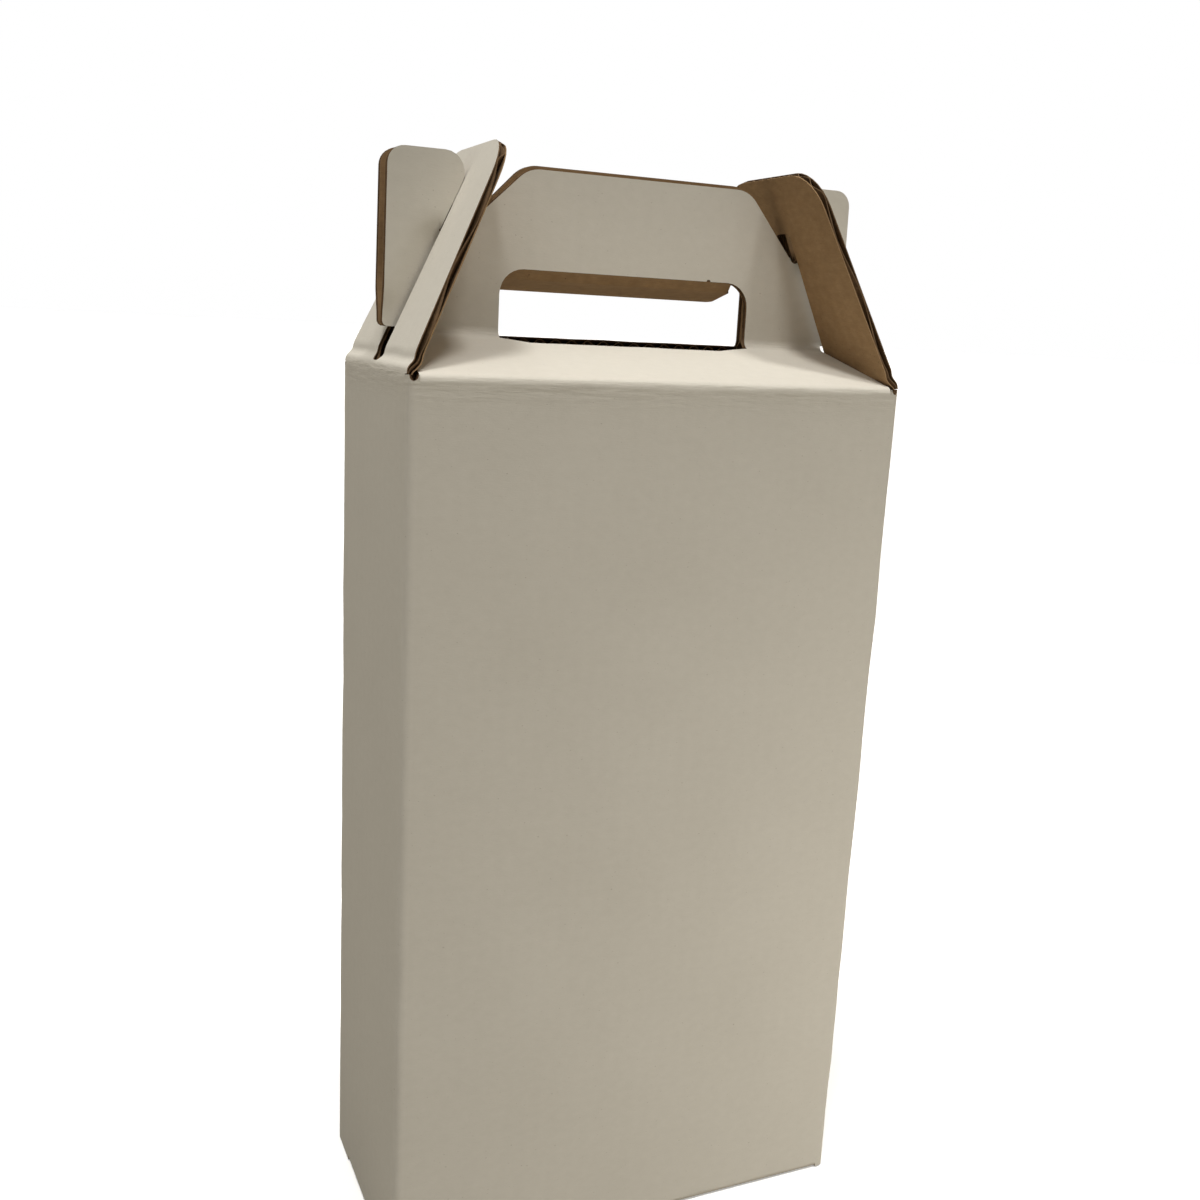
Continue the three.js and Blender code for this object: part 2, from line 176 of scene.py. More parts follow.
def paper_grain():
    """Clouds, fibres across the flutes, flecks, the ribs that press through (a relief, also used for painted
    shade along the flutes), and crumples near a crease.
    """
    tree = bpy.data.node_groups.new("paper_grain", "ShaderNodeTree")
    tree.interface.new_socket("Flat", in_out="INPUT", socket_type="NodeSocketVector")
    tree.interface.new_socket("Crush", in_out="INPUT", socket_type="NodeSocketFloat")
    made = ("Cloud", "Fibre", "Fleck", "Rib", "Height")
    for name in made:
        tree.interface.new_socket(name, in_out="OUTPUT", socket_type="NodeSocketFloat")
    entry, leave = tree.nodes.new("NodeGroupInput"), tree.nodes.new("NodeGroupOutput")
    flat, crush = entry.outputs["Flat"], entry.outputs["Crush"]
    broad = stretched_noise(tree, flat, *BROAD_CLOUD)
    close = stretched_noise(tree, flat, *CLOSE_CLOUD)
    broad_part, close_part = product(tree, broad, BROAD_SHARE), product(tree, close, 1 - BROAD_SHARE)
    cloud = arithmetic(tree, "ADD", broad_part, close_part)
    fibre = stretched_noise(tree, flat, *FIBRES)
    fleck = ramp(tree, stretched_noise(tree, flat, *SPECKS), *SPECK_RANGE)
    across = tree.nodes.new("ShaderNodeSeparateXYZ")
    feed(tree, across.inputs[0], flat)
    turns = product(tree, across.outputs["X"], 2 * math.pi / (FLUTE_PITCH * MILLIMETRE))
    rib = product(tree, arithmetic(tree, "ADD", arithmetic(tree, "COSINE", turns), 1.0), 0.5)
    crumple = stretched_noise(tree, flat, *CRUMPLES)
    height = product(tree, crumple, product(tree, crush, CRUMPLE_HEIGHT))
    for value, share in ((rib, RIB_HEIGHT), (fibre, FIBRE_HEIGHT), (close, CLOUD_HEIGHT)):
        height = arithmetic(tree, "ADD", height, product(tree, value, share))
    for name, value in zip(made, (cloud, fibre, fleck, rib, height)):
        feed(tree, leave.inputs[name], value)
    return tree


grain = paper_grain()


def board_paper(name, light, dark, fleck, worn, mottle, streak, rib_shade, flecking, roughness, relief):
    material, tree, shader = bare_material(name)
    flat = tree.nodes.new("ShaderNodeAttribute")
    flat.attribute_name = "flat"
    crush = tree.nodes.new("ShaderNodeAttribute")
    crush.attribute_name = "crush"
    paper = tree.nodes.new("ShaderNodeGroup")
    paper.node_tree = grain
    feed(tree, paper.inputs["Flat"], flat.outputs["Vector"])
    feed(tree, paper.inputs["Crush"], crush.outputs["Fac"])
    cloud, threads = paper.outputs["Cloud"], ramp(tree, paper.outputs["Fibre"], *FIBRE_RANGE)
    rubbed = product(tree, crush.outputs["Fac"], threads)
    colour = mixed(tree, ramp(tree, cloud, 0.5 - mottle, 0.5 + mottle), dark, light)
    # The Rib cover darkens the colour in lines along the flutes: a painted shade of the ribs, which the bump
    # also raises.
    covers = (
        (threads, streak, dark), (paper.outputs["Rib"], rib_shade, dark), (rubbed, WORN_SHARE, worn),
        (paper.outputs["Fleck"], flecking, fleck),
    )
    for cover, share, tint in covers:
        colour = mixed(tree, product(tree, cover, share), colour, tint)
    bump = tree.nodes.new("ShaderNodeBump")
    feed(tree, bump.inputs["Strength"], relief)
    feed(tree, bump.inputs["Distance"], RELIEF_DEPTH)
    feed(tree, bump.inputs["Height"], paper.outputs["Height"])
    feed(tree, shader.inputs["Base Color"], colour)
    gloss = ramp(tree, cloud, 0.0, 1.0, roughness - GLOSS_SPREAD, roughness + GLOSS_SPREAD)
    feed(tree, shader.inputs["Roughness"], gloss)
    feed(tree, shader.inputs["Normal"], bump.outputs["Normal"])
    feed(tree, shader.inputs["Specular IOR Level"], SHEEN)
    return material


white_liner = board_paper(
    "white_liner", light=(0.79, 0.753, 0.676, 1), dark=(0.725, 0.688, 0.610, 1),
    fleck=(0.30, 0.25, 0.18, 1), worn=(0.60, 0.53, 0.42, 1),
    mottle=0.28, streak=0.16, rib_shade=0.06, flecking=0.35, roughness=0.62, relief=0.30,
)
kraft_liner = board_paper(
    "kraft_liner", light=(0.468, 0.304, 0.160, 1), dark=(0.292, 0.179, 0.086, 1),
    fleck=(0.09, 0.055, 0.03, 1), worn=(0.26, 0.165, 0.085, 1),
    mottle=0.24, streak=0.42, rib_shade=0.10, flecking=0.60, roughness=0.85, relief=0.38,
)
fluted_core = board_paper(
    "fluted_core", light=(0.275, 0.170, 0.088, 1), dark=(0.125, 0.073, 0.036, 1),
    fleck=(0.06, 0.035, 0.02, 1), worn=(0.40, 0.28, 0.17, 1),
    mottle=0.22, streak=0.70, rib_shade=0.0, flecking=0.5, roughness=0.9, relief=0.5,
)
white_board = (white_liner, kraft_liner, fluted_core)


def cut_cells(outlines, across, along):
    """The flat outlines as faces, cut by lines across and along, with their points."""
    cells = bmesh.new()
    for outline in outlines:
        cells.faces.new([cells.verts.new((x, y, 0)) for x, y in outline])
    for axis, places in ((Vector((1, 0, 0)), across), (Vector((0, 1, 0)), along)):
        for place in places:
            whole = cells.verts[:] + cells.edges[:] + cells.faces[:]
            bmesh.ops.bisect_plane(cells, geom=whole, dist=SNAP, plane_co=axis * place, plane_no=axis)
    cells.verts.index_update()
    flat = np.array([v.co[:2] for v in cells.verts])
    faces = []
    for face in cells.faces:
        loop = [v.index for v in face.verts]
        faces.append(loop if face.normal.z > 0 else loop[::-1])
    cells.free()
    return flat, faces


def directed_edges(faces):
    return {(a, b) for f in faces for a, b in zip(f, f[1:] + f[:1])}


def near_cuts(flat, faces, creased, depth):
    """The faces that lie within a depth of an edge that was cut and not creased."""
    edges = directed_edges(faces)
    border = np.array([e for e in sorted(edges) if e[::-1] not in edges])
    start, end = flat[border[:, 0]], flat[border[:, 1]]
    open_cut = np.array([not creased(x, y) for x, y in (start + end) / 2])
    start, run = start[open_cut], (end - start)[open_cut]
    if not len(start):
        return []
    near = []
    for f in faces:
        centre = flat[f].mean(axis=0)
        share = np.clip(((centre - start) * run).sum(1) / (run * run).sum(1), 0, 1)
        gap = np.linalg.norm(start + run * share[:, None] - centre, axis=1).min()
        if gap < depth:
            near.append(f)
    return near


def over(flat, amount):
    """An amount at each point of the flat board, or none."""
    return np.array([amount(x, y) for x, y in flat]) if amount else np.zeros(len(flat))


def lay_up(
    name, outlines, place, creased, across, along, finish=white_board, warp=None, crush=None, pinch=None,
):
    """A board of three papers from its flat outlines, in millimetres as seen on the white face."""
    points, depths, polygons, papers = [], [], [], []

    def sheet(flat, depth):
        first = sum(len(p) for p in points)
        points.append(flat)
        depths.append(np.broadcast_to(depth, len(flat)))
        return first

    def face(loop, paper):
        polygons.append(loop)
        papers.append(paper)

    def edge_face(top, low, a, b, paper):
        face([top + a, low + a, low + b, top + b], paper)

    flat, faces = cut_cells(outlines, across, along)
    rim = near_cuts(flat, faces, creased, HOLLOW_DEPTH)
    levels = [sheet(flat, d) for d in (0.0, LINER, BOARD - LINER, BOARD)]
    white_top, white_low, kraft_top, kraft_low = levels
    edges, rim_edges = directed_edges(faces), directed_edges(rim)
    in_rim = {v for f in rim for v in f}
    for f in faces:
        face([white_top + v for v in f], WHITE)
        face([kraft_low + v for v in reversed(f)], KRAFT)
    for f in rim:
        face([white_low + v for v in reversed(f)], CORE)
        face([kraft_top + v for v in f], CORE)
    for a, b in sorted(edges):
        if (b, a) in edges:
            continue
        if (a, b) in rim_edges:
            edge_face(white_top, white_low, a, b, CORE)
            edge_face(kraft_top, kraft_low, a, b, KRAFT)
        else:
            down = levels if a in in_rim else [white_top, kraft_low]
            up = levels[::-1] if b in in_rim else [kraft_low, white_top]
            face([level + a for level in down] + [level + b for level in up], CORE)
    # Where the hollow ends, a wall of the dark core paper closes it: painted shade in place of the flute
    # tunnels that run on through the real board.
    for a, b in sorted(rim_edges):
        if (b, a) not in rim_edges and (b, a) in edges:
            face([white_low + a, white_low + b, kraft_top + b, kraft_top + a], CORE)
    if rim:
        step = FLUTE_PITCH / FLUTE_STEPS
        first, last = math.ceil(flat[:, 0].min() / step), math.floor(flat[:, 0].max() / step)
        flutes = [k * step for k in range(first, last + 1)]
        flute_flat, flute_faces = cut_cells(outlines, flutes, along)
        flute_faces = near_cuts(flute_flat, flute_faces, creased, FLUTE_DEPTH)
        swing = BOARD / 2 - LINER - FLUTE_SHEET / 2
        middle = BOARD / 2 - swing * np.cos(2 * math.pi * flute_flat[:, 0] / FLUTE_PITCH)
        top, low = [sheet(flute_flat, middle + side * FLUTE_SHEET / 2) for side in (-1, 1)]
        flute_edges = directed_edges(flute_faces)
        for f in flute_faces:
            face([top + v for v in f], CORE)
            face([low + v for v in reversed(f)], CORE)
        for a, b in sorted(flute_edges):
            if (b, a) not in flute_edges:
                edge_face(top, low, a, b, CORE)
    flat, depth = np.concatenate(points), np.concatenate(depths)
    bent = place(flat[:, 0], flat[:, 1], depth * (1 - over(flat, pinch)) - over(flat, warp))
    mesh = bpy.data.meshes.new(name)
    mesh.from_pydata(bent * MILLIMETRE, [], polygons)
    for paper in finish:
        mesh.materials.append(paper)
    mesh.polygons.foreach_set("material_index", papers)
    spread = np.column_stack([flat, depth]) * MILLIMETRE
    flat_places = mesh.attributes.new("flat", "FLOAT_VECTOR", "POINT")
    flat_places.data.foreach_set("vector", spread.astype(np.float32).ravel())
    crushed = mesh.attributes.new("crush", "FLOAT", "POINT")
    crushed.data.foreach_set("value", over(flat, crush).astype(np.float32))
    trimmed = bmesh.new()
    trimmed.from_mesh(mesh)
    loose = [v for v in trimmed.verts if not v.link_faces]
    bmesh.ops.delete(trimmed, geom=loose, context="VERTS")
    trimmed.to_mesh(mesh)
    trimmed.free()
    mesh.shade_smooth()
    mesh.set_sharp_from_angle(angle=SHARP_EDGE)
    piece = bpy.data.objects.new(name, mesh)
    bpy.context.scene.collection.objects.link(piece)
    return piece


def fold_curve(s, depth, fold, reach):
    """Along and out of a board that folds over a crease at s = 0, as round curves on both papers."""
    t = np.clip((s + reach) / (2 * reach), 0, 1)
    first, turn, last = (1 - t) ** 2, 2 * t * (1 - t), t ** 2
    mitre = BOARD * math.tan(fold / 2)
    cosine, sine = math.cos(fold), math.sin(fold)
    share = depth / BOARD
    white_along = -reach * first + reach * cosine * last
    white_out = -reach * sine * last
    kraft_along = -reach * first - mitre * turn + (reach * cosine - BOARD * sine) * last
    kraft_out = -BOARD * first - BOARD * turn - (reach * sine + BOARD * cosine) * last
    before, after = np.minimum(s + reach, 0), np.maximum(s - reach, 0)
    along = white_along + (kraft_along - white_along) * share + before + after * cosine
    out = white_out + (kraft_out - white_out) * share - after * sine
    return along, out


def moved(matrix, x, y, z):
    turned = np.array(matrix.to_3x3())
    return np.column_stack([x, y, z]) @ turned.T + np.array(matrix.translation)


def side_frame(turn, distance):
    """A frame on one side of the box, seen from outside: x to the right, y up, z out."""
    out = Matrix.Translation((0, -distance, 0))
    return Matrix.Rotation(turn, 4, "Z") @ out @ Matrix.Rotation(math.pi / 2, 4, "X")


def upright(matrix, left, right):
    """Places an upright board that folds at its left and right ends, each given as a place and an angle."""
    def place(x, y, depth):
        to_right, out_right = fold_curve(x - right[0], depth, right[1], CORNER_ROLL)
        to_left, out_left = fold_curve(left[0] - x, depth, left[1], CORNER_ROLL)
        on_right = x > (left[0] + right[0]) / 2
        across = np.where(on_right, right[0] + to_right, left[0] - to_left)
        return moved(matrix, across, y, np.where(on_right, out_right, out_left))
    return place


def lines(low, high, step):
    """Even places between two ends, about a step apart."""
    count = max(1, round((high - low) / step))
    return [low + (high - low) * k / count for k in range(1, count)]


def roll_lines(end, way):
    return [end + way * CORNER_ROLL * k / ROLL_STEPS for k in range(1, ROLL_STEPS + 1)]


def wave(x, y, height_and_length, seed):
    height, length = height_and_length
    return height * noise.noise(Vector((x / length, y / length, seed)))


def clamped(share):
    return min(1.0, max(0.0, share))


def smooth(share):
    share = clamped(share)
    return share * share * (3 - 2 * share)


def fading(distance, reach):
    return max(0.0, 1 - distance / reach)


front_side = side_frame(0, DEPTH / 2)
right_side = side_frame(math.pi / 2, WIDTH / 2)
back_side = side_frame(math.pi, DEPTH / 2)
left_side = side_frame(-math.pi / 2, WIDTH / 2)
top_ends = {
    "front": (-ROOF_ROOT, ROOF_ROOT),
    "right": (CORNER_ROLL - DEPTH / 2, TAB_FACE - CORNER_ROLL),
    "back": (-ROOF_ROOT, ROOF_ROOT),
    "left": (CORNER_ROLL - DEPTH / 2, DEPTH / 2 - CORNER_ROLL),
}
# Frame, left and right fold with its angle, reach of the base flap, roll of the top crease, and seed.
walls = {
    "front": (front_side, (-WIDTH / 2, CORNER), (WIDTH / 2, CORNER), (-BASE_HALF, BASE_HALF), CREASE, 1),
    "right": (
        right_side, (-DEPTH / 2, CORNER), (TAB_FACE, CORNER), (-SIDE_FLAP_FORE, SIDE_FLAP_AFT), LOCK_ROLL, 2,
    ),
    "back": (back_side, (-WIDTH / 2, 0.0), (WIDTH / 2, CORNER), (-BASE_HALF, BASE_HALF), CREASE, 3),
    "left": (
        left_side, (-DEPTH / 2, CORNER), (DEPTH / 2, CORNER), (-SIDE_FLAP_AFT, SIDE_FLAP_FORE), LOCK_ROLL, 4,
    ),
}
for side, (matrix, (left, left_fold), (right, right_fold), base, roll, seed) in walls.items():
    root, top, rim = top_ends[side], HEIGHT - roll, HEIGHT - RAW_TOP
    bite = []
    if side in ("front", "back"):
        middle = ROOF_ROOT + BITE_GAP + BITE_RADIUS
        arc = [math.pi * k / BITE_STEPS for k in range(BITE_STEPS + 1)]
        bite = [(middle + BITE_RADIUS * math.cos(a), rim - BITE_RADIUS * math.sin(a)) for a in arc]
    outline = [
        (left, RAW_FOOT), (base[0], RAW_FOOT), (base[0], CREASE), (base[1], CREASE), (base[1], RAW_FOOT),
        (right, RAW_FOOT), (right, rim), *bite, (root[1], rim), (root[1], top), (root[0], top),
        (root[0], rim), *[(-x, y) for x, y in reversed(bite)], (left, rim),
    ]

    def is_creased(x, y):
        at_side = x > right - NEAR or (x < left + NEAR and left_fold > 0)
        at_base = y < CREASE + NEAR and base[0] - NEAR < x < base[1] + NEAR
        at_top = y > top - NEAR and root[0] - NEAR < x < root[1] + NEAR
        return at_side or at_base or at_top

    def bow(x, y):
        from_ends = min(y - CREASE, HEIGHT - LOCK_ROLL - y)
        from_rim = min(x - left - CORNER_ROLL, right - CORNER_ROLL - x, from_ends)
        swell = BOW + wave(x, y, BROAD_BOW, seed) + wave(x, y, CLOSE_BOW, seed + CLOSE_SEED)
        dents = 0.0
        for inward, mark in zip((x - left, right - x), DENT_SEEDS[side]):
            if mark:
                dent = wave(0, y, BROAD_DENT, mark) + wave(0, y, CLOSE_DENT, mark)
                dents += fading(inward, DENT_WIDTH) ** 2 * dent
        return smooth(from_rim / BOW_MARGIN) * swell + clamped(from_ends / DENT_MARGIN) * dents

    flutes = lines(left + CORNER_ROLL, right - CORNER_ROLL, FLUTE_PITCH)
    across = sorted(roll_lines(left, 1) + roll_lines(right, -1) + flutes)
    along = lines(CREASE, HEIGHT - TOP_ROWS[0], WALL_ROW) + [HEIGHT - row for row in TOP_ROWS]
    wall = lay_up(
        f"{side}_wall", [outline], upright(matrix, (left, left_fold), (right, right_fold)), is_creased,
        across, along, warp=bow, crush=lambda x, y: fading(HEIGHT - y, PRESSED_TOP) ** 2 * PRESSED_MOST,
    )
    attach(wall, "carton")
    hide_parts(f"{side}_panel")

# Glue tab. A tapered strip of the same board, turned in from the right wall and stuck flat to the inside
# of the back wall. Its raw edges show only when the box is open.
TAB_WIDTH = 30.0
TAB_INSET = 16.0
TAB_TAPER = 12.0
TAB_COLUMNS = (-85.0, -78.0, -71.0)
PLAIN_ROW = 16.0
tab_root, tab_end = -WIDTH / 2, TAB_WIDTH - WIDTH / 2
tab_outline = [
    (tab_root, TAB_INSET), (tab_end, TAB_INSET + TAB_TAPER),
    (tab_end, HEIGHT - TAB_INSET - TAB_TAPER), (tab_root, HEIGHT - TAB_INSET),
]
glue_tab = lay_up(
    "glue_strip", [tab_outline], upright(side_frame(math.pi, TAB_FACE), (tab_root, CORNER), (tab_end, 0.0)),
    lambda x, y: x < tab_root + NEAR, roll_lines(tab_root, 1) + list(TAB_COLUMNS),
    lines(TAB_INSET, HEIGHT - TAB_INSET, PLAIN_ROW),
)
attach(glue_tab, "carton")
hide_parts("glue_tab")

# Base. Four flaps creased to the feet of the walls snap into each other without glue: the front one lies
# lowest, the side ones over it, then the back one, and the tongue of the front flap tucks over that.
LAYER = BOARD + GAP
FLAT_STRIP = 6.0
BACK_FLAP = 52.0
BACK_CLIMB = 30.0
BACK_TAPER = 3.0
RECESS_HALF = 34.0
RECESS_SLOPE = 6.0
RECESS_EDGE = 40.0
SIDE_FLAP = 60.0
SIDE_CLIMB = 22.0
SIDE_TIP_FORE = 22.0
SIDE_TIP_AFT = 14.0
FRONT_FLAP = 50.0
FRONT_CORNER = 68.5
TONGUE_HALF = 27.0
TONGUE_FOOT = 24.0
TONGUE_CREST = 46.0
TONGUE_END = 72.0
SLIT = 0.3
FLAP_ROUND = 6.0
FOOT_CRUSH = 6.0
ROUND_STEPS = 7


def rounded(corners):
    """An outline whose corners are rounded where a radius stands after the place."""
    places = [Vector(c[:2]) for c in corners]
    points = []
    for i, corner in enumerate(corners):
        here = places[i]
        if len(corner) == 2:
            points.append(tuple(here))
            continue
        radius = corner[2]
        before = (places[i - 1] - here).normalized()
        after = (places[(i + 1) % len(places)] - here).normalized()
        half = before.angle(after) / 2
        centre = here + (before + after).normalized() * (radius / math.sin(half))
        start = here + before * (radius / math.tan(half)) - centre
        turn = start.angle_signed(here + after * (radius / math.tan(half)) - centre)
        for k in range(ROUND_STEPS + 1):
            points.append(tuple(centre + Matrix.Rotation(-turn * k / ROUND_STEPS, 2) @ start))
    return points


def flipped(corners):
    return [(-c[0], *c[1:]) for c in reversed(corners)]


def mirrored(right_half):
    return right_half + flipped(right_half)


def folded(matrix, fold, reach, rise=None):
    """Places a board that is creased at y = 0 of a frame, with a rise towards its kraft side."""
    def place(x, y, depth):
        lift = over(np.column_stack([x, y]), rise)
        along, out = fold_curve(y, depth + lift, fold, reach)
        return moved(matrix, x, along, out)
    return place


half_turn = Matrix.Rotation(math.pi, 4, "Z")
foot_rows = [CREASE * (k / ROLL_STEPS - 1) for k in range(1, 2 * ROLL_STEPS + 1)]
side_corners = [
    (-SIDE_FLAP_FORE, -CREASE), (SIDE_FLAP_AFT, -CREASE), (SIDE_FLAP_AFT, BOARD),
    (SIDE_TIP_AFT, SIDE_CLIMB), (SIDE_TIP_AFT, SIDE_FLAP, FLAP_ROUND),
    (-SIDE_TIP_FORE, SIDE_FLAP, FLAP_ROUND), (-SIDE_TIP_FORE, SIDE_CLIMB), (-SIDE_FLAP_FORE, BOARD),
]
back_corners = mirrored([
    (BASE_HALF, -CREASE), (BASE_HALF - BACK_TAPER, BACK_FLAP, FLAP_ROUND),
    (RECESS_HALF + RECESS_SLOPE, BACK_FLAP), (RECESS_HALF, RECESS_EDGE),
])
front_corners = mirrored([
    (BASE_HALF, -CREASE), (BASE_HALF, BOARD), (FRONT_CORNER, BOARD + BASE_HALF - FRONT_CORNER),
    (FRONT_CORNER, FRONT_FLAP, FLAP_ROUND), (TONGUE_HALF + SLIT, FRONT_FLAP),
    (TONGUE_HALF + SLIT, TONGUE_FOOT), (TONGUE_HALF, TONGUE_FOOT), (TONGUE_HALF, TONGUE_END, FLAP_ROUND),
])
# Frame, corners, where the flap starts and ends to climb over the others, and how many it climbs over.
base_flaps = {
    "front": (front_side, front_corners, (TONGUE_FOOT, TONGUE_CREST), 3),
    "left": (left_side, side_corners, (FLAT_STRIP, SIDE_CLIMB), 1),
    "right": (right_side, flipped(side_corners), (FLAT_STRIP, SIDE_CLIMB), 1),
    "back": (back_side, back_corners, (FLAT_STRIP, BACK_CLIMB), 2),
}
for side, (matrix, corners, (start, end), layers) in base_flaps.items():
    outline = rounded(corners)
    wide = max(x for x, y in outline)

    def rise(x, y):
        if side == "front" and abs(x) > TONGUE_HALF + NEAR:
            return 0.0
        return layers * LAYER * clamped((y - start) / (end - start))

    flap = lay_up(
        f"base_flap_{side}", [outline], folded(matrix @ half_turn, CORNER, CREASE, rise),
        lambda x, y: y < NEAR - CREASE, lines(-wide, wide, FLUTE_PITCH), foot_rows + [start, end],
        crush=lambda x, y: fading(abs(y), FOOT_CRUSH),
    )
    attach(flap, "carton")
    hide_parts(f"bottom_{side}_flap")

# Divider. A loose strip of plain brown board, folded into a Z: the web stands between the bottles, and a
# leaf lies against the front wall on one side of it and against the back wall on the other.
DIVIDER_HEIGHT = 230.0
DIVIDER_FOOT = 3 * LAYER + BOARD + GAP
DIVIDER_TOP = DIVIDER_FOOT + DIVIDER_HEIGHT
LEAF_FACE = DEPTH / 2 - BOARD - GAP
LEAF_LENGTH = 70.0
LEAF_COLUMN = 13.0
brown_board = (kraft_liner, kraft_liner, fluted_core)
leaf_ends = ((-BOARD / 2, CORNER), (LEAF_LENGTH, 0.0))
dividers = {
    "web": (side_frame(-math.pi / 2, BOARD / 2), (BOARD - LEAF_FACE, -CORNER), (LEAF_FACE, CORNER)),
    "front_leaf": (side_frame(0, LEAF_FACE), *leaf_ends),
    "back_leaf": (side_frame(math.pi, LEAF_FACE), *leaf_ends),
}
for part, (matrix, (left, left_fold), (right, right_fold)) in dividers.items():
    outline = [(left, DIVIDER_FOOT), (right, DIVIDER_FOOT), (right, DIVIDER_TOP), (left, DIVIDER_TOP)]
    across = roll_lines(left, 1) + lines(left + CORNER_ROLL, right - CORNER_ROLL, LEAF_COLUMN)
    if right_fold:
        across += roll_lines(right, -1)
    board = lay_up(
        f"divider_board_{part}", [outline], upright(matrix, (left, left_fold), (right, right_fold)),
        lambda x, y: x < left + NEAR or (x > right - NEAR and right_fold != 0), across,
        lines(DIVIDER_FOOT, DIVIDER_TOP, PLAIN_ROW), finish=brown_board,
    )
    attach(board, "carton")
    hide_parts(f"divider_{part}")

# Roof. The front and back slopes are creased to the wall tops and lean on each other through the handles.
# Their side edges are raw and follow the lock flaps, and so is the edge that the hand hole leaves.
HANDLE_FACE = 3.2
ROOF_RISE = 12.5
ROOF_CLEARANCE = 0.6
ROOF_ROW = 6.0
LOCK_LEAN = math.radians(25)
HOLE_HALF = 50.5
HOLE_INSET = 0.2
HOLE_SIDE = HOLE_HALF - HOLE_INSET
HOLE_EDGE = {"front": (2.2, 1.4), "back": (0.4, 0.0)}  # cut back from the ridge, and dipped
HOLE_SKEW = (0.3, 7)  # sets the two ends of that edge a little apart
SAG = 0.12
SAG_WAVE = (0.3, 26)
SAG_MARGIN = 10.0
DIP_WAVE = (0.3, 15)
DIP_MARGIN = 12.0
DIP_START = 20.0
DIP_RUN = 21.0
ROOF_CRUSH = (14.0, 0.5)  # reach from the crease, and the most
EAVE_PUCKER = (0.16, 9)
EAVE_WAVE = (0.12, 30)
STRIP_ROWS = 14
STRIP_COLUMN = 4.0
STRIP_CRUSH = 3.2
PINCH = 0.4
roof_run = DEPTH / 2 - HANDLE_FACE
roof_fold = math.pi / 2 - math.atan2(ROOF_RISE, roof_run)
roof_length = math.hypot(ROOF_RISE, roof_run)
lock_thickness = BOARD / math.cos(LOCK_LEAN)


def roof_half(along):
    return WIDTH / 2 - along * math.cos(roof_fold) * math.tan(LOCK_LEAN) - lock_thickness - ROOF_CLEARANCE


def flat_on(matrix):
    return lambda x, y, depth: moved(matrix, x, y, -depth)


def crushed_from(reach, most):
    return lambda x, y: fading(y, reach) ** 2 * most


def dome(y, reach):
    return max(0.0, 1 - (y / reach) ** 2)


def strip_outline(left, right, reach):
    return [(left, -reach), (right, -reach), (right, reach), (left, reach)]


def creased_strip(name, outlines, matrix, fold, reach, ends, step, dent):
    """The rolled board at a crease, from one panel to the next, in its folded place."""
    xs = [x for outline in outlines for x, y in outline]
    rows = [ends[0] + (ends[1] - ends[0]) * k / STRIP_ROWS for k in range(1, STRIP_ROWS)]
    place = folded(matrix, fold, reach)
    strip = lay_up(
        name, outlines, place, lambda x, y: y < ends[0] + NEAR or y > ends[1] - NEAR,
        lines(min(xs), max(xs), step), rows, warp=dent, crush=lambda x, y: fading(abs(y), STRIP_CRUSH),
        pinch=lambda x, y: PINCH * dome(y, reach) ** 2,
    )
    both_papers = np.array([0.0, BOARD])
    before, after = [place(np.zeros(2), np.full(2, y), both_papers) for y in (-reach, reach)]
    origin, run = before[0], after[0] - before[0]
    shares = [((p - origin) @ run) / (run @ run) for p in (*before, *after)]
    start, end = [(origin + run * share) * MILLIMETRE for share in (max(shares[:2]), min(shares[2:]))]
    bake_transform(strip)
    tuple(start)
    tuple(end)


roof_frames = {}
ridge = roof_length - CREASE
for side, matrix, seed in (("front", front_side, 11), ("back", back_side, 12)):
    crease_frame = matrix @ Matrix.Translation((0, HEIGHT, 0))
    roof_frames[side] = crease_frame @ Matrix.Rotation(-roof_fold, 4, "X")
    cut_back, dip = HOLE_EDGE[side]
    slope_outline = [
        (roof_half(CREASE), CREASE), (roof_half(ridge), ridge), (HOLE_HALF, ridge),
        *[(x, roof_length - cut_back + wave(x, 0, HOLE_SKEW, seed)) for x in (HOLE_SIDE, -HOLE_SIDE)],
        (-HOLE_HALF, ridge), (-roof_half(ridge), ridge), (-roof_half(CREASE), CREASE),
    ]

    def is_creased(x, y):
        return y < CREASE + NEAR or (abs(y - ridge) < NEAR and abs(x) > HOLE_HALF)

    def sag(x, y):
        hold = clamped(min(y - CREASE, ridge - y) / SAG_MARGIN)
        free = clamped((HOLE_HALF - abs(x)) / DIP_MARGIN) * clamped((y - DIP_START) / DIP_RUN) ** 2
        return hold * (SAG + wave(x, y, SAG_WAVE, seed)) - free * (dip + wave(x, 0, DIP_WAVE, seed))

    slope = lay_up(
        f"{side}_slope", [slope_outline], flat_on(roof_frames[side]), is_creased,
        lines(-roof_half(CREASE), roof_half(CREASE), FLUTE_PITCH), lines(CREASE, ridge, ROOF_ROW),
        warp=sag, crush=crushed_from(*ROOF_CRUSH),
    )
    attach(slope, f"{side}_roof")
    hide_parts(f"{side}_roof")

    def pucker(x, y):
        return dome(y, CREASE) * (wave(x, y * 2, EAVE_PUCKER, seed) + wave(x, y, EAVE_WAVE, seed))

    eave = strip_outline(-ROOF_ROOT, ROOF_ROOT, CREASE)
    creased_strip(
        f"{side}_eave_crease", [eave], crease_frame, roof_fold, CREASE, (-CREASE, CREASE), STRIP_COLUMN,
        pucker,
    )

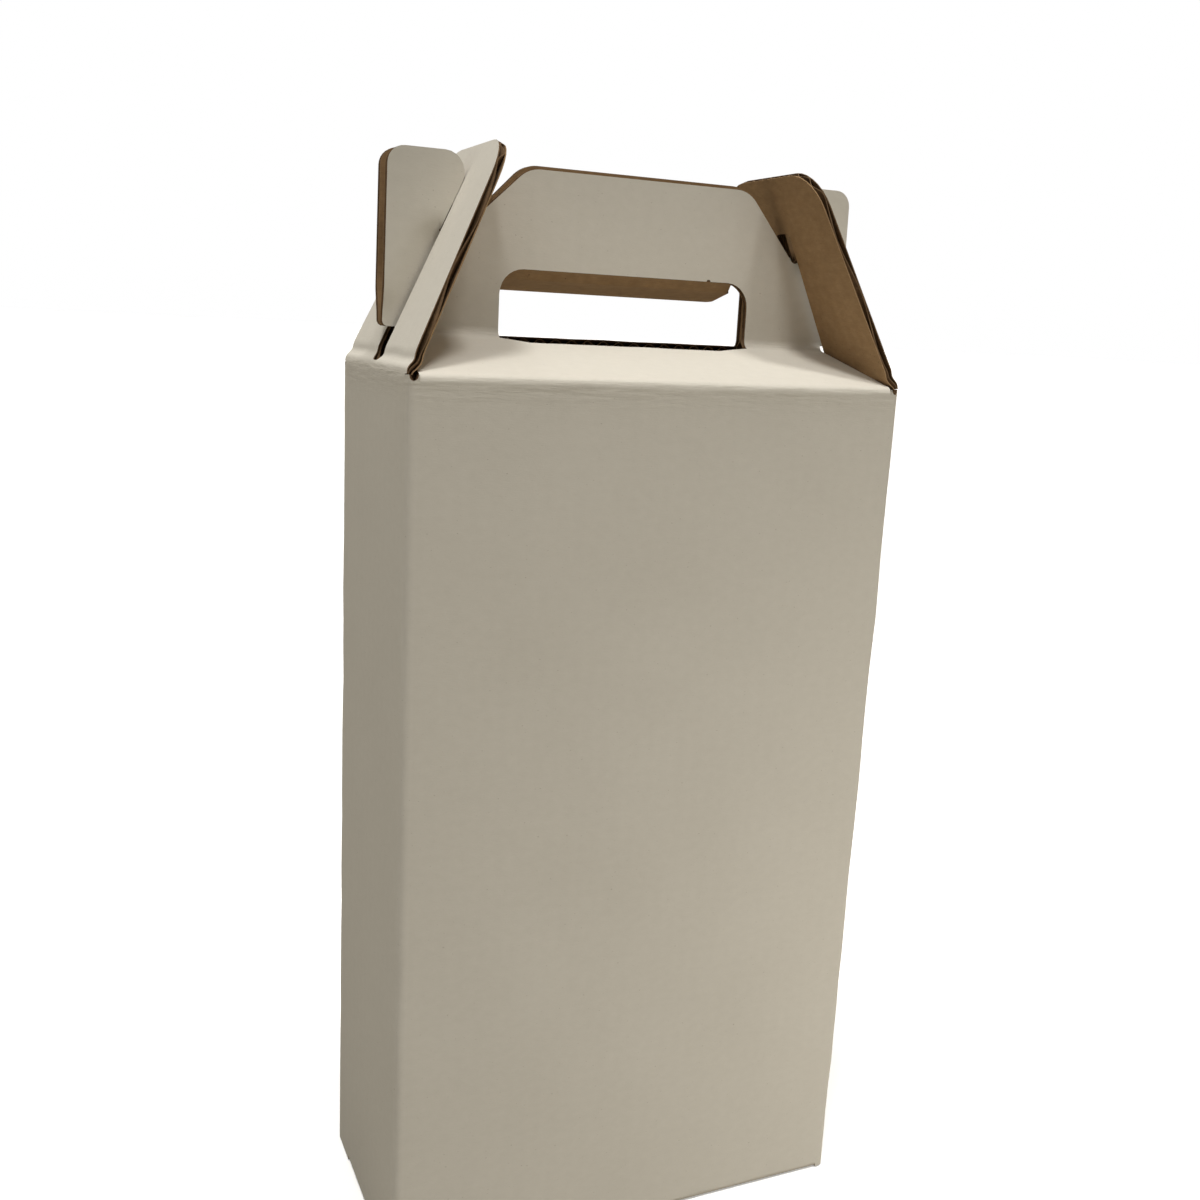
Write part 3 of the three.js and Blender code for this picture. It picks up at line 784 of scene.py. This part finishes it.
# Handles. Two panels stand back to back on the roof slopes, each with half of the hand hole, sloped
# shoulders, and a notch at each side that leaves a wing. The wings pass out through the lock flaps.
HANDLE_HEIGHT = 58.5
HANDLE_ROW = 4.0
HANDLE_CRUSH = (9.0, 0.5)
SHOULDER = math.radians(47)
CROWN_ROUND = 11.0
CROWN_SHIFT = {"front": (3.6, -0.7), "back": (-3.2, 0.8)}  # across and up, in the panel's own frame
FOOT_SHARE = 0.25  # of the shift, at the foot of the shoulders
WING_INSET = 2.2
WING_OUT = WIDTH / 2 - WING_INSET
WING_SPREAD = 0.2
WING_TAPER = 0.8
WING_FOOT = 1.5
WING_FOOT_ROUND = 2.0
WING_TOP = 61.0
WING_ROUND = 6.0
HOOK_ROUND = 7.0
HOOK_GAP = 0.2
NOTCH_BOTTOM = 32.5
NOTCH_ROUND = 2.5
NOTCH_CLEARANCE = 2.2
SPLAY = {"front": 1.7, "back": 2.7}
SPLAY_START = 1.0
SPLAY_RUN = 12.0
SPLAY_FOOT = 12.0
HOOK_RUN = 4.0
HOLE_HEIGHT = 23.5
HOLE_ROUND = 9.0
NICK = (32.2, 32.6, 33.6, 34.0)
NICK_DEPTH = 0.7
HAND_CREASE = 3.0
HAND_CREASE_HALF = 46.0
HAND_ROUND = 4.0
RIDGE_PUCKER = (0.10, 8)


def lock_outside(y):
    return WIDTH / 2 - (ROOF_RISE + y) * math.tan(LOCK_LEAN) + HOOK_GAP / math.cos(LOCK_LEAN)


notch_inside = lock_outside(NOTCH_BOTTOM) - lock_thickness - NOTCH_CLEARANCE
crown_half = notch_inside - (HANDLE_HEIGHT - NOTCH_BOTTOM) / math.tan(SHOULDER)
foot_half = roof_half(roof_length)


def wing_corners(outer):
    return [
        (HOLE_HALF, CREASE), (foot_half, CREASE), (foot_half, WING_FOOT),
        (outer, WING_FOOT, WING_FOOT_ROUND), (outer - WING_TAPER, WING_TOP, WING_ROUND),
        (lock_outside(WING_TOP), WING_TOP, HOOK_ROUND),
        (lock_outside(NOTCH_BOTTOM), NOTCH_BOTTOM, NOTCH_ROUND),
    ]


def handle_corners(across, up):
    foot, crest = across * FOOT_SHARE, HANDLE_HEIGHT + up
    crown = [
        (foot + notch_inside, NOTCH_BOTTOM, NOTCH_ROUND), (across + crown_half, crest, CROWN_ROUND),
        (across - crown_half, crest, CROWN_ROUND), (foot - notch_inside, NOTCH_BOTTOM, NOTCH_ROUND),
    ]
    return wing_corners(WING_OUT + WING_SPREAD) + crown + flipped(wing_corners(WING_OUT - WING_SPREAD))


hand_root = HOLE_HEIGHT + HAND_CREASE
hole_corners = {
    "front": [
        (-HOLE_HALF, HOLE_HEIGHT, HOLE_ROUND), (NICK[0], HOLE_HEIGHT), (NICK[1], HOLE_HEIGHT + NICK_DEPTH),
        (NICK[2], HOLE_HEIGHT + NICK_DEPTH), (NICK[3], HOLE_HEIGHT), (HOLE_HALF, HOLE_HEIGHT, HOLE_ROUND),
    ],
    "back": [
        (-HOLE_HALF, HOLE_HEIGHT, HAND_ROUND), (-HAND_CREASE_HALF, HOLE_HEIGHT),
        (-HAND_CREASE_HALF, hand_root), (HAND_CREASE_HALF, hand_root),
        (HAND_CREASE_HALF, HOLE_HEIGHT), (HOLE_HALF, HOLE_HEIGHT, HAND_ROUND),
    ],
}
handle_frames = {}
for side, seed in (("front", 21), ("back", 22)):
    ridge_frame = roof_frames[side] @ Matrix.Translation((0, roof_length, 0))
    handle_frames[side] = ridge_frame @ Matrix.Rotation(roof_fold, 4, "X")

    def is_creased(x, y):
        at_foot = y < CREASE + NEAR and abs(x) < foot_half
        at_hand = side == "back" and abs(y - hand_root) < NEAR and abs(x) < HAND_CREASE_HALF
        return at_foot or at_hand

    def splay(x, y):
        outside = abs(x) - lock_outside(y) + SPLAY_START
        hooked = smooth((y - NOTCH_BOTTOM) / HOOK_RUN) if outside > 0 else 0.0
        parted = 1 - (1 - hooked) * (1 - smooth(outside / SPLAY_RUN))
        return SPLAY[side] * parted * smooth((y - CREASE) / SPLAY_FOOT)

    handle = lay_up(
        f"{side}_grip", [rounded(handle_corners(*CROWN_SHIFT[side]) + hole_corners[side])],
        flat_on(handle_frames[side]), is_creased, lines(-WING_OUT, WING_OUT, FLUTE_PITCH / 2),
        lines(CREASE, WING_TOP, HANDLE_ROW), warp=splay, crush=crushed_from(*HANDLE_CRUSH),
    )
    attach(handle, f"{side}_handle")
    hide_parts(f"{side}_handle")

    def pucker(x, y):
        return dome(y, CREASE) * wave(x, y * 2, RIDGE_PUCKER, seed)

    feet = [strip_outline(*ends, CREASE) for ends in ((-foot_half, -HOLE_HALF), (HOLE_HALF, foot_half))]
    creased_strip(
        f"{side}_ridge_crease", feet, ridge_frame, -roof_fold, CREASE, (-CREASE, CREASE), STRIP_COLUMN,
        pucker,
    )

# Hand flap. The board punched from the back hand hole stays creased along the top of the hole and is
# pushed through to the back, so that its brown side shows in the hole and the hand rests on a fold.
HAND_CLEARANCE = 0.6
HAND_FLAP_HALF = HOLE_HALF - HAND_CLEARANCE
HAND_FLAP_LENGTH = HOLE_HEIGHT - HAND_CLEARANCE
HAND_FLARE = 1.0
HAND_FLAP_ROOT = HAND_CREASE_HALF + HAND_FLARE
HAND_FLAP_ROUND = 2.5
HAND_FLAP_ROW = 5.0
HAND_ENDS = 43.0  # closed ends, where the punch presses the board shut
HAND_OPEN = math.radians(80)
HAND_COLUMN = 5.0
HAND_PUCKER = (0.1, 9)
HAND_SEED = 31
hand_frame = handle_frames["back"] @ Matrix.Translation((0, HOLE_HEIGHT, 0)) @ half_turn
hand_corners = mirrored([
    (HAND_FLAP_ROOT, HAND_CREASE), (HAND_FLAP_HALF, HAND_FLAP_LENGTH, HAND_FLAP_ROUND),
])
hand_flap = lay_up(
    "hand_rest", [rounded(hand_corners)], folded(hand_frame, -HAND_OPEN, HAND_CREASE),
    lambda x, y: y < HAND_CREASE + NEAR or abs(x) > HAND_ENDS,
    lines(-HAND_FLAP_HALF, HAND_FLAP_HALF, FLUTE_PITCH),
    lines(HAND_CREASE, HAND_FLAP_LENGTH, HAND_FLAP_ROW),
)
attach(hand_flap, "hand_flap")
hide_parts("hand_flap")
hand_strip = strip_outline(-HAND_CREASE_HALF, HAND_CREASE_HALF, HAND_CREASE)
creased_strip(
    "hand_crease", [hand_strip], hand_frame, -HAND_OPEN, HAND_CREASE, (-HAND_CREASE, HAND_CREASE),
    HAND_COLUMN, lambda x, y: dome(y, HAND_CREASE) * wave(x, y, HAND_PUCKER, HAND_SEED),
)

# Lock flaps. Each side wall ends in a tapered flap with a long slot. The flaps are folded in over the
# wings of both handles, which hold them there. The board is crushed in a soft band above the crease.
LOCK_LENGTH = 84.48
LOCK_TOP_HALF = 31.5
LOCK_ROUND = 16.0
LOCK_ROOT = 44.0
LOCK_SHOULDER = 0.2
LOCK_BAND = 10.0
LOCK_ROW = 8.0
LOCK_CRUSH = (20.0, 0.6)
SLOT_HALF = 5.2
SLOT_START = 2.5
SLOT_START_ROUND = 4.0
SLOT_END = 63.0
SLOT_END_ROUND = 2.5
GROOVE = (-0.5, 5.4, 1.7)  # height, place and width
GROOVE_STRAY = (0.6, 14)
SWELL = (0.3, 2.0, 1.4)
BAND_PUCKER = (0.12, 8)
BAND_MARGIN = 2.0


def lock_half(y):
    return LOCK_ROOT + (LOCK_TOP_HALF - LOCK_ROOT) * max(0.0, y) / LOCK_LENGTH


def ridge_at(y, height, place, width):
    return height * math.exp(-(((y - place) / width) ** 2))


band_half = lock_half(LOCK_BAND)
lock_corners = mirrored([(band_half, LOCK_BAND), (LOCK_TOP_HALF, LOCK_LENGTH, LOCK_ROUND)])
slot_corners = mirrored([(-SLOT_HALF, LOCK_BAND), (-SLOT_HALF, SLOT_END, SLOT_END_ROUND)])
for side, matrix, seed in (("left", left_side, 41), ("right", right_side, 42)):
    crease_frame = matrix @ Matrix.Translation((0, HEIGHT, 0))
    lock_frame = crease_frame @ Matrix.Rotation(-LOCK_LEAN, 4, "X")
    flap = lay_up(
        f"{side}_lock", [rounded(lock_corners + slot_corners)], flat_on(lock_frame),
        lambda x, y: y < LOCK_BAND + NEAR, lines(-LOCK_ROOT, LOCK_ROOT, FLUTE_PITCH),
        lines(LOCK_BAND, LOCK_LENGTH, LOCK_ROW), crush=crushed_from(*LOCK_CRUSH),
    )
    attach(flap, f"{side}_lock_flap")
    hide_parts(f"{side}_lock_flap")

    def band(x, y):
        groove = ridge_at(y - wave(x, 0, GROOVE_STRAY, seed), *GROOVE)
        ends = min(1.0, (y + LOCK_ROLL) / BAND_MARGIN, (LOCK_BAND - y) / BAND_MARGIN)
        return ends * (groove + ridge_at(y, *SWELL) + wave(x, y * 2, BAND_PUCKER, seed))

    aft, fore = top_ends[side]
    root = rounded([
        (aft, -LOCK_ROLL), (fore, -LOCK_ROLL), (fore, 0.0), (LOCK_ROOT, LOCK_SHOULDER),
        (band_half, LOCK_BAND), (SLOT_HALF, LOCK_BAND), (SLOT_HALF, SLOT_START, SLOT_START_ROUND),
        (-SLOT_HALF, SLOT_START, SLOT_START_ROUND), (-SLOT_HALF, LOCK_BAND), (-band_half, LOCK_BAND),
        (-LOCK_ROOT, LOCK_SHOULDER), (aft, 0.0),
    ])
    creased_strip(
        f"{side}_lock_crease", [root], crease_frame, LOCK_LEAN, LOCK_ROLL, (-LOCK_ROLL, LOCK_BAND),
        STRIP_COLUMN, band,
    )

# Floor and light. A pale matt floor in a white surround, two soft lamps and a broad panel overhead, and a
# weak low fill from the front right. The surround is dimmest behind the camera.
FLOOR_HALF = 30.0
FLOOR_BOUNCE = (0.24, 0.222, 0.185, 1)
FLOOR_WHITE = (0.98, 0.98, 0.98, 1)
FLOOR_ROUGHNESS = 0.9
FLOOR_GLOW = 0.3
BLACK = (0.0, 0.0, 0.0, 1)
PURE_WHITE = (1.0, 1.0, 1.0, 1)
WARM_WHITE = (1.0, 0.94, 0.82, 1)
SURROUND_GLOW = 0.015
SURROUND_LOBES = {"X": 0.22, "Y": 0.40, "Z": 0.12}
MIDDLE_OF_BOX = (0, 0, 0.33)
LAMP_COLOUR = (1.0, 0.985, 0.95)
LAMP_ANGLE = math.radians(9)
floor_mesh = bpy.data.meshes.new("floor")
near, far = -FLOOR_HALF, FLOOR_HALF
floor_mesh.from_pydata([(near, near, 0), (far, near, 0), (far, far, 0), (near, far, 0)], [], [(0, 1, 2, 3)])
floor = bpy.data.objects.new("floor", floor_mesh)
bpy.context.scene.collection.objects.link(floor)
floor_paint, tree, shader = bare_material("pale_floor")
seen = tree.nodes.new("ShaderNodeLightPath").outputs["Is Camera Ray"]
feed(tree, shader.inputs["Base Color"], mixed(tree, seen, FLOOR_BOUNCE, FLOOR_WHITE))
feed(tree, shader.inputs["Roughness"], FLOOR_ROUGHNESS)
feed(tree, shader.inputs["Emission Color"], PURE_WHITE)
feed(tree, shader.inputs["Emission Strength"], product(tree, seen, FLOOR_GLOW))
floor_mesh.materials.append(floor_paint)

surround = bpy.data.worlds.new("surround")
surround.use_nodes = True
tree = surround.node_tree
toward = tree.nodes.new("ShaderNodeSeparateXYZ")
feed(tree, toward.inputs[0], tree.nodes.new("ShaderNodeTexCoord").outputs["Generated"])
glow = SURROUND_GLOW
for axis, power in SURROUND_LOBES.items():
    lobe = arithmetic(tree, "MAXIMUM", product(tree, toward.outputs[axis], power), 0.0)
    glow = arithmetic(tree, "ADD", lobe, glow)
seen = tree.nodes.new("ShaderNodeLightPath").outputs["Is Camera Ray"]
lit = mixed(tree, seen, mixed(tree, glow, BLACK, WARM_WHITE), PURE_WHITE)
feed(tree, tree.nodes["Background"].inputs["Color"], lit)
bpy.context.scene.world = surround


def lamp_at(name, kind, place, target, energy, colour, size):
    light = bpy.data.lights.new(name, kind)
    light.energy = energy
    light.color = colour
    if kind == "SUN":
        light.angle = size
    else:
        light.size = size
    holder = bpy.data.objects.new(name, light)
    holder.location = place
    holder.rotation_euler = (Vector(target) - Vector(place)).to_track_quat("-Z", "Y").to_euler()
    bpy.context.scene.collection.objects.link(holder)


lamp_at(
    "left_lamp", "SUN", place=(-0.22, -0.20, 1.33), target=MIDDLE_OF_BOX,
    energy=1.4, colour=LAMP_COLOUR, size=LAMP_ANGLE,
)
lamp_at(
    "right_lamp", "SUN", place=(0.17, -0.20, 1.33), target=MIDDLE_OF_BOX,
    energy=1.15, colour=LAMP_COLOUR, size=LAMP_ANGLE,
)
lamp_at(
    "overhead_panel", "AREA", place=(-0.6, -0.2, 1.4), target=MIDDLE_OF_BOX,
    energy=4.2, colour=(1.0, 0.98, 0.94), size=1.2,
)
lamp_at(
    "low_fill", "AREA", place=(0.30, -0.34, 0.06), target=(0.08, -0.045, 0.04),
    energy=0.55, colour=(1.0, 0.95, 0.86), size=0.2,
)

# Camera. It stands to the left of the front wall, level with the roof, and looks slightly down.
# Its place, lens and directions are in metres, millimetres and unit vectors.
CAMERA_PLACE = (-0.2027, -0.4400, 0.3499)
CAMERA_RIGHT = Vector((0.91455, -0.40134, 0.05022))
CAMERA_UP = Vector((0.04123, 0.21601, 0.97552))
CAMERA_AHEAD = Vector((0.40237, 0.89009, -0.21410))
lens = bpy.data.cameras.new("camera")
lens.sensor_width = 36.0
lens.lens = 37.94
camera = bpy.data.objects.new("camera", lens)
turn = Matrix((CAMERA_RIGHT, CAMERA_UP, -CAMERA_AHEAD)).transposed().to_4x4()
camera.matrix_world = Matrix.Translation(CAMERA_PLACE) @ turn
bpy.context.scene.collection.objects.link(camera)
bpy.context.scene.camera = camera
bpy.context.scene.view_settings.view_transform = "Standard"

bpy.context.view_layer.update()
